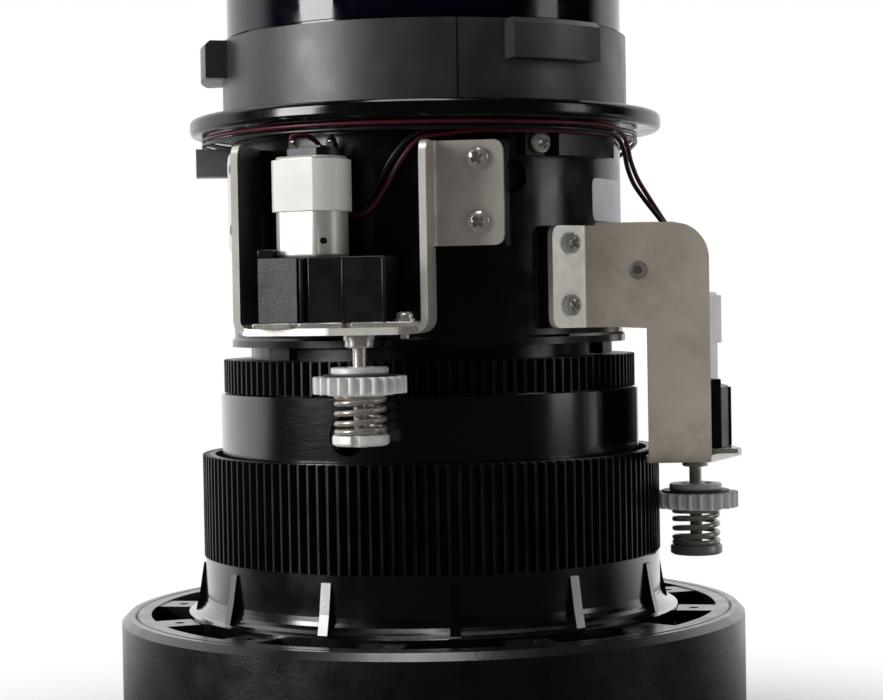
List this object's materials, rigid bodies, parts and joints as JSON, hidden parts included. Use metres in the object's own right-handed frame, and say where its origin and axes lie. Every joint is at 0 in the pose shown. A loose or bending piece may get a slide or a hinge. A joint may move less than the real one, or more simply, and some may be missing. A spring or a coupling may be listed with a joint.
{
  "type": "projection lens",
  "caption": "Motorised zoom and focus projection lens with gear rings, two gearmotor drives, a bayonet mounting flange and a wide front hood.",
  "frame": {"origin": "on the optical axis, at the rest face of the front hood", "axes": "+Z along the optical axis towards the rear barrel, -Y towards the zoom drive, +X towards the focus drive"},
  "size_m": [0.1526, 0.1526, 0.2201],
  "materials": {
    "hood_paint": "fine grainy black coating",
    "cone_anodised": "black satin coating",
    "gear_metal": "hobbed, black satin anodised",
    "sleeve_anodised": "black anodised, satin",
    "barrel_paint": "black satin paint",
    "rear_gloss": "glossy blue-black",
    "band_anodised": "brownish grey, matt",
    "tube_metal": "turned, satin",
    "optical_glass": "polished and coated",
    "pin_brass": "turned",
    "bracket_steel": "bare sheet steel, warm grey",
    "screw_steel": "nickel plated",
    "drive_steel": "turned and ground",
    "spring_steel": "drawn wire",
    "gearbox_black": "black moulded",
    "moulded_black": "black moulded",
    "motor_can": "bright plated steel",
    "band_white": "white sleeve, bare",
    "pinion_white": "white moulded nylon",
    "terminal_tin": "tinned",
    "lead_red": "red insulation",
    "lead_black": "black insulation",
    "connector_white": "natural nylon",
    "label_silver": "bare grey label"
  },
  "bodies": {
    "root": {"rear_barrel": "rear_gloss", "rear_lens": "optical_glass", "rear_retaining_ring": "sleeve_anodised", "bayonet_band": "band_anodised", "mounting_flange": "barrel_paint", "main_barrel": "barrel_paint", "relay_lens": "optical_glass", "relay_retaining_ring": "sleeve_anodised", "guide_tube": "tube_metal", "helicoid_sleeve": "sleeve_anodised", "sleeve_lock_ring": "sleeve_anodised", "neck_stops": "moulded_black", "locating_lug": "band_anodised", "lead_clamp": "moulded_black", "clamp_screw": "screw_steel", "bare_label": "label_silver", "zoom_bracket": "bracket_steel", "focus_bracket": "bracket_steel", "bracket_pads": "moulded_black", "bracket_screws": "screw_steel", "floor_screws": "screw_steel", "zoom_gearbox": "gearbox_black", "focus_gearbox": "gearbox_black", "zoom_gearbox_plate": "drive_steel", "focus_gearbox_plate": "drive_steel", "output_bushings": "drive_steel", "zoom_motor": "motor_can", "focus_motor": "motor_can", "motor_bands": "band_white", "motor_caps": "gearbox_black", "motor_terminals": "terminal_tin", "zoom_lead_red": "lead_red", "zoom_lead_black": "lead_black", "focus_lead_red": "lead_red", "focus_lead_black": "lead_black", "lead_connector": "connector_white"},
    "front_group": {"front_cell": "sleeve_anodised", "front_lens": "optical_glass", "front_retaining_ring": "sleeve_anodised"},
    "focus_ring": {"focus_gear_ring": "gear_metal", "ribbed_cone": "cone_anodised", "hood": "hood_paint", "hood_screws": "screw_steel"},
    "zoom_ring": {"zoom_gear_ring": "gear_metal", "cam_tube": "tube_metal"},
    "variator": {"variator_cell": "sleeve_anodised", "variator_lens": "optical_glass", "variator_pins": "pin_brass"},
    "compensator": {"compensator_cell": "sleeve_anodised", "compensator_lens": "optical_glass", "compensator_pins": "pin_brass"},
    "zoom_drive": {"zoom_drive_shaft": "drive_steel", "zoom_pinion": "pinion_white", "zoom_clutch_spring": "spring_steel", "zoom_clutch_disc": "drive_steel"},
    "focus_drive": {"focus_drive_shaft": "drive_steel", "focus_pinion": "pinion_white", "focus_clutch_spring": "spring_steel", "focus_clutch_disc": "drive_steel"}
  },
  "joints": [
    {"name": "focus_turn", "type": "hinge", "parent": "front_group", "child": "focus_ring", "pos_m": [0, 0, 0.055], "axis": [0, 0, 1], "range_deg": [-40, 40]},
    {"name": "front_group_slide", "type": "slide", "parent": "root", "child": "front_group", "axis": [0, 0, 1], "range_m": [-0.0032, 0.0032]},
    {"name": "zoom_turn", "type": "hinge", "parent": "root", "child": "zoom_ring", "pos_m": [0, 0, 0.1026], "axis": [0, 0, 1], "range_deg": [-30, 30]},
    {"name": "variator_slide", "type": "slide", "parent": "root", "child": "variator", "axis": [0, 0, 1], "range_m": [-0.006, 0.006]},
    {"name": "compensator_slide", "type": "slide", "parent": "root", "child": "compensator", "axis": [0, 0, 1], "range_m": [-0.003, 0.003]},
    {"name": "zoom_drive_turn", "type": "hinge", "parent": "root", "child": "zoom_drive", "pos_m": [-0.01506, -0.05725, 0.1], "axis": [0, 0, 1], "range_deg": [-155.2, 155.2]},
    {"name": "focus_drive_turn", "type": "hinge", "parent": "root", "child": "focus_drive", "pos_m": [0.06457, -0.0054, 0.07], "axis": [0, 0, 1], "range_deg": [-230.2, 230.2]}
  ],
  "couplings": [
    {"joint": "front_group_slide", "follows": "focus_turn", "m_per_rad": 0.004584},
    {"joint": "focus_drive_turn", "follows": "focus_turn", "ratio": -5.75},
    {"joint": "variator_slide", "follows": "zoom_turn", "m_per_rad": 0.011459},
    {"joint": "compensator_slide", "follows": "zoom_turn", "m_per_rad": -0.00573},
    {"joint": "zoom_drive_turn", "follows": "zoom_turn", "ratio": -5.1667}
  ]
}
